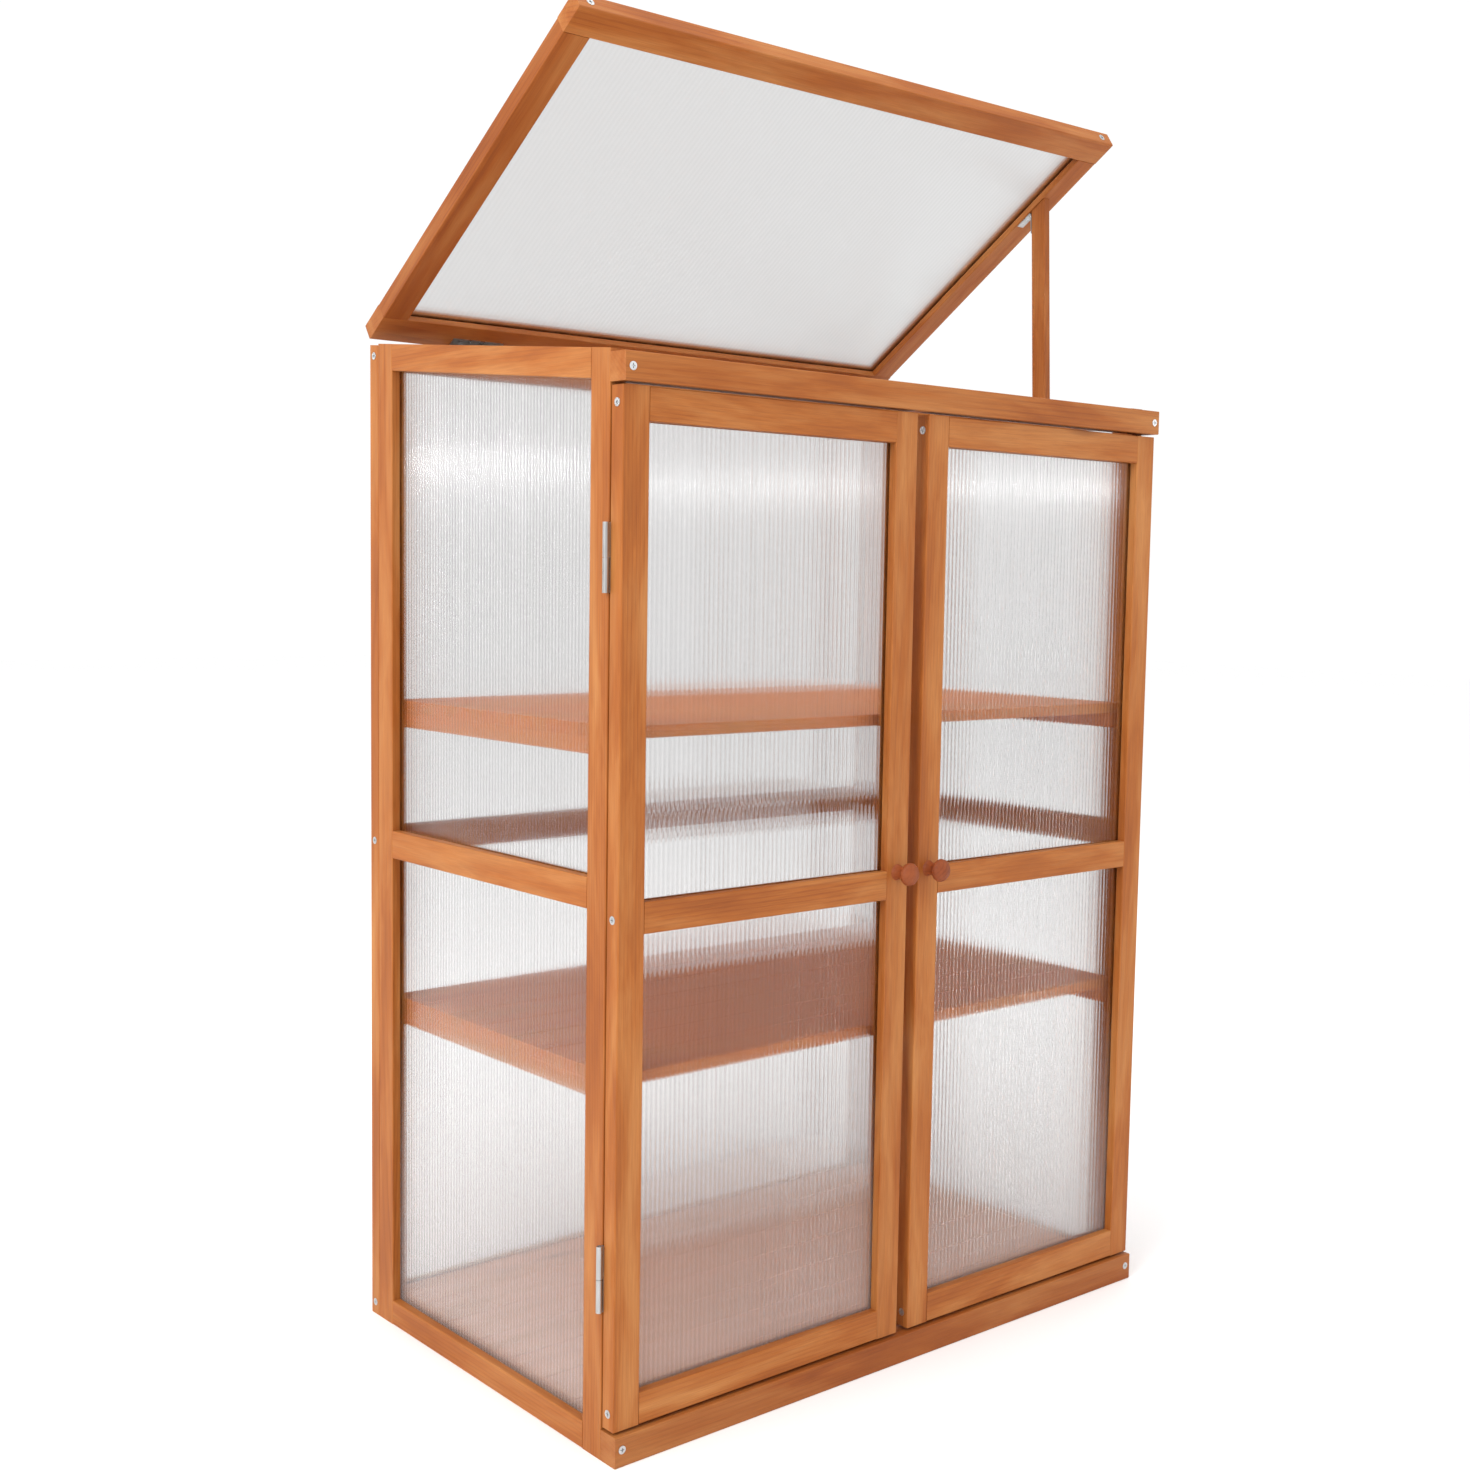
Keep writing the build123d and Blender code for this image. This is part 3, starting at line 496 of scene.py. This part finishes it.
def fluted_sheet(name, span, length, thickness, head_drop=0.0, sink=SINK):
    """A sheet standing on its foot: flutes up Y, thickness centred on Z = 0, faces ridged."""
    flutes = round(span / FLUTE)
    bpy.ops.object.select_all(action="DESELECT")
    bpy.ops.mesh.primitive_grid_add(x_subdivisions=2 * flutes, y_subdivisions=1, size=1)
    sheet = bpy.context.object
    sheet.name = name
    sheet.scale = (span, length, 1)
    settle(sheet)
    step = span / (2 * flutes)
    bpy.ops.object.mode_set(mode="EDIT")
    bpy.ops.mesh.select_all(action="DESELECT")
    bpy.ops.object.mode_set(mode="OBJECT")
    for vertex in sheet.data.vertices:
        column = round((vertex.co.x + span / 2) / step)
        vertex.select = column % 2 == 0
    bpy.ops.object.mode_set(mode="EDIT")
    bpy.ops.transform.translate(value=(0, 0, -sink))
    if head_drop:
        bpy.ops.mesh.select_all(action="SELECT")
        slope = Vector((span, head_drop, 0)).normalized()
        bpy.ops.mesh.bisect(
            plane_co=(-span / 2, length / 2 - head_drop, 0),
            plane_no=(-slope.y, slope.x, 0),
            clear_outer=True,
        )
    bpy.ops.object.mode_set(mode="OBJECT")
    shell = sheet.modifiers.new("thickness", "SOLIDIFY")
    shell.thickness = thickness - sink
    shell.offset = 0
    only(sheet)
    bpy.ops.object.modifier_apply(modifier=shell.name)
    sheet.data.transform(Matrix.Translation((0, 0, sink / 2)))
    return sheet


def stand_sheet(sheet, centre, turn, body, slot_paint):
    """Puts a sheet in its place and hangs it on its body."""
    sheet.location = centre
    sheet.rotation_euler = turn
    settle(sheet)
    sheet.data.materials.append(slot_paint)
    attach(sheet, body)


# %% Panels of the doors and the back wall
UPRIGHT = (math.pi / 2, 0, 0)


def upright_pair(node_name, rail_name, body, words):
    """The lower and the upper panel of a wall that runs from left to right."""
    low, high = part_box(node_name)
    rail_low, rail_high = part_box(rail_name)
    spans = [(low.z, rail_low.z + PANEL_BITE), (rail_high.z - PANEL_BITE, high.z)]
    made = []
    for word, (foot, head) in zip(("lower", "upper"), spans):
        name = f"{words}_{word}_sheet"
        sheet = fluted_sheet(name, high.x - low.x, head - foot, high.y - low.y)
        centre = ((low.x + high.x) / 2, (low.y + high.y) / 2, (foot + head) / 2)
        stand_sheet(sheet, centre, UPRIGHT, body, glazing_paint["x"])
        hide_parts(node_name)
        made.append(sheet)
    return made


for side in ("left", "right"):
    door = f"{side}_door"
    pair = upright_pair(f"{door}_panels", f"{door}_mid_rail", door, door)
    print(side, "door sheets", [len(sheet.data.polygons) for sheet in pair])
back_pair = upright_pair("back_panels", "back_mid_rail", "cabinet", "back")
print("back sheets", [tuple(round(size, 3) for size in sheet.dimensions) for sheet in back_pair])

# %% Panels of the side walls
SIDEWAYS = (math.pi / 2, 0, math.pi / 2)


def side_pair(side):
    """The lower panel and the upper one, whose head follows the roof."""
    low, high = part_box(f"{side}_side_panels")
    rail_low, rail_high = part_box(f"{side}_side_mid_rail")
    front_low, front_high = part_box(f"{side}_side_front_stile")
    back_low, back_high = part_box(f"{side}_side_back_stile")
    rise = (back_high.z - front_high.z) / (back_high.y - front_high.y)
    drop = rise * (high.y - low.y)
    spans = [(low.z, rail_low.z + PANEL_BITE, 0), (rail_high.z - PANEL_BITE, high.z, drop)]
    for word, (foot, head, head_drop) in zip(("lower", "upper"), spans):
        name = f"{side}_side_{word}_sheet"
        sheet = fluted_sheet(name, high.y - low.y, head - foot, high.x - low.x, head_drop)
        centre = ((low.x + high.x) / 2, (low.y + high.y) / 2, (foot + head) / 2)
        stand_sheet(sheet, centre, SIDEWAYS, "cabinet", glazing_paint["y"])
        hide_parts(f"{side}_side_panels")
        print(name, tuple(round(size, 3) for size in sheet.dimensions))


side_pair("left")
side_pair("right")

# %% Panel of the lid
lid_low, lid_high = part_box("lid_panel")
LID_THICKNESS = 0.004
run = lid_high.y - lid_low.y
lid_length = (run - LID_THICKNESS * math.sin(LID_SLOPE)) / math.cos(LID_SLOPE)
LID_SINK = 0.00006
lid_span = lid_high.x - lid_low.x
lid_sheet = fluted_sheet("lid_sheet", lid_span, lid_length, LID_THICKNESS, sink=LID_SINK)
lid_centre = (lid_low + lid_high) / 2
stand_sheet(lid_sheet, lid_centre, (-LID_SLOPE, 0, 0), "lid", glazing_paint["lid"])
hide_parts("lid_panel")
print("lid sheet", tuple(round(size, 3) for size in lid_sheet.dimensions))

# %% [markdown]
# ## Knobs
# Each door has a small turned knob. On a lathe it is a cylinder with a waist and a domed head.
# Here it grows in the same way: a disc is extruded ring by ring, and each ring is scaled to
# the radius that the knob has at that height. The finish is a dark red-brown stain, polished
# by hands on the crown.

# %% Knob stain
KNOB_EARLY = (0.26, 0.060, 0.016)
KNOB_LATE = (0.12, 0.024, 0.008)
KNOB_PALE = (0.32, 0.085, 0.026)
KNOB_SEED = 300
knob_paint = stained("knob_stain", "y", KNOB_SEED, KNOB_EARLY, KNOB_LATE, KNOB_PALE)

# %% Turned knobs
KNOB_RINGS = (  # height above the door's face and radius, in millimetres
    (0.0, 8.5), (1.6, 7.6), (4.0, 6.9), (7.0, 6.5), (10.0, 6.6), (12.4, 7.8), (14.6, 9.9),
    (16.0, 11.4), (17.2, 11.95), (19.2, 11.95), (21.0, 11.1), (23.2, 9.2), (25.2, 6.3), (26.5, 3.1),
    (26.95, 1.0),
)
TURNING_SIDES = 40
MILLIMETRE = 0.001
KNOB_SOFT_EDGE = math.radians(40)


def turned_knob(name, centre_x, centre_z, door_face_y, body):
    """A knob that grows towards the front from the door's face."""
    bpy.ops.object.select_all(action="DESELECT")
    first = KNOB_RINGS[0][1] * MILLIMETRE
    bpy.ops.mesh.primitive_circle_add(vertices=TURNING_SIDES, radius=first, fill_type="NGON")
    knob = bpy.context.object
    knob.name = name
    bpy.ops.object.mode_set(mode="EDIT")
    bpy.ops.mesh.select_all(action="SELECT")
    bpy.ops.mesh.flip_normals()
    for (low, inner), (high, outer) in zip(KNOB_RINGS, KNOB_RINGS[1:]):
        rise = {"value": (0, 0, (high - low) * MILLIMETRE)}
        bpy.ops.mesh.extrude_region_move(TRANSFORM_OT_translate=rise)
        bpy.ops.transform.resize(value=(outer / inner, outer / inner, 1))
    bpy.ops.mesh.select_all(action="SELECT")
    bpy.ops.mesh.normals_make_consistent(inside=False)
    bpy.ops.object.mode_set(mode="OBJECT")
    knob.rotation_euler = (math.pi / 2, 0, 0)
    knob.location = (centre_x, door_face_y, centre_z)
    settle(knob)
    bpy.ops.object.shade_smooth_by_angle(angle=KNOB_SOFT_EDGE)
    knob.data.materials.append(knob_paint)
    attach(knob, body)
    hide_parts(name.replace("turned", "door"))
    return knob


for side in ("left", "right"):
    knob_low, knob_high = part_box(f"{side}_door_knob")
    knob_mid = (knob_low + knob_high) / 2
    knob = turned_knob(f"{side}_turned_knob", knob_mid.x, knob_mid.z, knob_high.y, f"{side}_door")
    print(knob.name, "at", tuple(round(value, 4) for value in knob_mid), len(knob.data.vertices))
